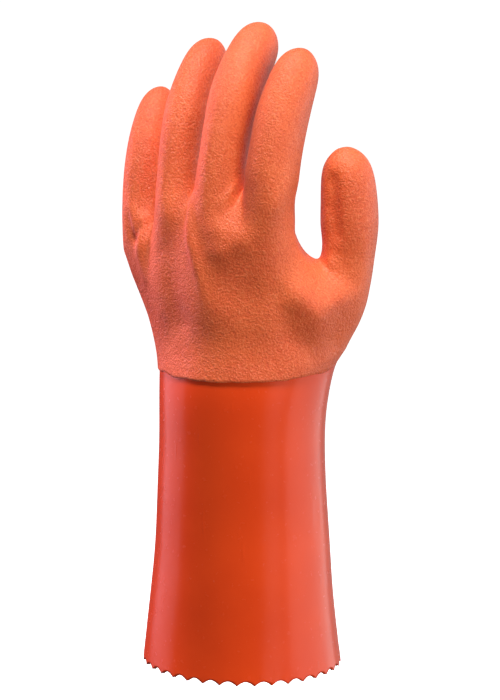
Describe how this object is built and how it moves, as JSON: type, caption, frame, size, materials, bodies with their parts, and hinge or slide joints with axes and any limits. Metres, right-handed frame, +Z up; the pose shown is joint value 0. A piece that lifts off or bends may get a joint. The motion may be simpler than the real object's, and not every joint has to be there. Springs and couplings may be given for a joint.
{
  "type": "pvc coated work glove",
  "caption": "Long dipped work glove for the left hand: rough coated hand with gently bent fingers, smooth glossy gauntlet with a pinked hem, hollow for the hand and forearm",
  "frame": {"origin": "middle of the hem opening, level with the points of the pinked hem", "axes": "+Z up the arm to the fingertips, +X to the thumb's side, +Y to the palm, so -Y is the back of the hand"},
  "size_m": [0.123, 0.09, 0.3012],
  "materials": {
    "base_glove": "glossy",
    "grip_coat": "rough"
  },
  "bodies": {
    "root": {"base_glove": "base_glove", "grip_coat": "grip_coat"}
  },
  "joints": []
}
